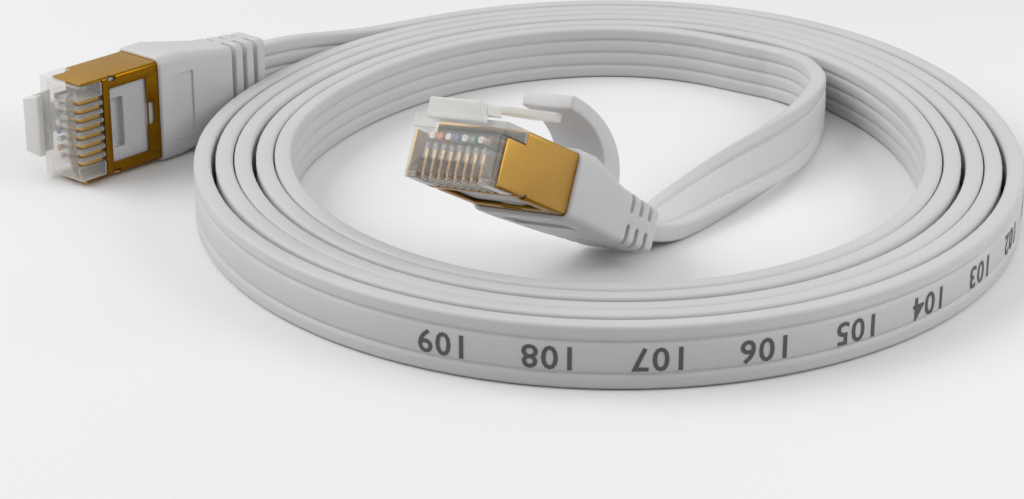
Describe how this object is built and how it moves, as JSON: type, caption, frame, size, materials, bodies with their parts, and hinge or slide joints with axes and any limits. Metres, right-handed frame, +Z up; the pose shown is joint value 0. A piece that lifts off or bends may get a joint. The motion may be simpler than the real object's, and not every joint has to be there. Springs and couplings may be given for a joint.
{
  "type": "ethernet patch cable",
  "caption": "Flat ethernet patch cable wound on edge into an oval ring, with a clear modular plug in a gold shield and a snag-free boot on each end.",
  "frame": {"origin": "on the floor, under the middle of the two plugs' bounding box", "axes": "+Z up from the floor that the ring lies on; +X and +Y in the floor, the ring being longer along Y; plug A lies outside the ring towards -X, plug B inside it"},
  "size_m": [0.1099, 0.1052, 0.023],
  "materials": {
    "jacket": "fine matte light grey PVC jacket",
    "boot": "smooth satin light grey moulded boot",
    "shield": "gold-plated folded sheet, polished",
    "contact": "gold-plated blade",
    "clear_moulding": "clear polycarbonate, glossy",
    "load_bar": "milky translucent polycarbonate",
    "collar": "tinned crimp collar",
    "insulation_white_orange": "smooth conductor insulation",
    "insulation_orange": "smooth conductor insulation",
    "insulation_white_green": "smooth conductor insulation",
    "insulation_blue": "smooth conductor insulation",
    "insulation_white_blue": "smooth conductor insulation",
    "insulation_green": "smooth conductor insulation",
    "insulation_white_brown": "smooth conductor insulation",
    "insulation_brown": "smooth conductor insulation"
  },
  "bodies": {
    "cable": {"shield_a": "shield", "housing_a": "clear_moulding", "load_bar_a": "load_bar", "crimp_collar_a": "collar", "cable_end_a": "jacket", "boot_a": "boot", "contact_a1": "contact", "wire_a1_white_orange": "insulation_white_orange", "contact_a2": "contact", "wire_a2_orange": "insulation_orange", "contact_a3": "contact", "wire_a3_white_green": "insulation_white_green", "contact_a4": "contact", "wire_a4_blue": "insulation_blue", "contact_a5": "contact", "wire_a5_white_blue": "insulation_white_blue", "contact_a6": "contact", "wire_a6_green": "insulation_green", "contact_a7": "contact", "wire_a7_white_brown": "insulation_white_brown", "contact_a8": "contact", "wire_a8_brown": "insulation_brown", "shield_b": "shield", "housing_b": "clear_moulding", "load_bar_b": "load_bar", "crimp_collar_b": "collar", "cable_end_b": "jacket", "boot_b": "boot", "contact_b1": "contact", "wire_b1_white_orange": "insulation_white_orange", "contact_b2": "contact", "wire_b2_orange": "insulation_orange", "contact_b3": "contact", "wire_b3_white_green": "insulation_white_green", "contact_b4": "contact", "wire_b4_blue": "insulation_blue", "contact_b5": "contact", "wire_b5_white_blue": "insulation_white_blue", "contact_b6": "contact", "wire_b6_green": "insulation_green", "contact_b7": "contact", "wire_b7_white_brown": "insulation_white_brown", "contact_b8": "contact", "wire_b8_brown": "insulation_brown", "cable_coil": "jacket", "cable_lead_a": "jacket", "cable_lead_b": "jacket"},
    "latch_a": {"latch_a": "clear_moulding"},
    "hood_a": {"hood_a": "boot"},
    "latch_b": {"latch_b": "clear_moulding"},
    "hood_b": {"hood_b": "boot"}
  },
  "joints": [
    {"name": "hood_a_flex", "type": "hinge", "parent": "cable", "child": "hood_a", "pos_m": [-0.01982, 0.02703, 0.00626], "axis": [0, 0, 1], "range_deg": [0, 10], "stiffness_Nm_per_rad": 0.002},
    {"name": "latch_a_flex", "type": "hinge", "parent": "cable", "child": "latch_a", "pos_m": [-0.03287, 0.01266, 0.00626], "axis": [0, 0, -1], "range_deg": [0, 7], "stiffness_Nm_per_rad": 0.002},
    {"name": "hood_b_flex", "type": "hinge", "parent": "cable", "child": "hood_b", "pos_m": [0.02648, -0.01449, 0.01058], "axis": [0.7714, -0.6218, 0.1355], "range_deg": [0, 10], "stiffness_Nm_per_rad": 0.002},
    {"name": "latch_b_flex", "type": "hinge", "parent": "cable", "child": "latch_b", "pos_m": [0.01506, -0.02644, 0.02075], "axis": [-0.7714, 0.6218, -0.1355], "range_deg": [0, 7], "stiffness_Nm_per_rad": 0.002}
  ],
  "couplings": [
    {"joint": "latch_a_flex", "follows": "hood_a_flex", "ratio": 0.7},
    {"joint": "latch_b_flex", "follows": "hood_b_flex", "ratio": 0.7}
  ]
}
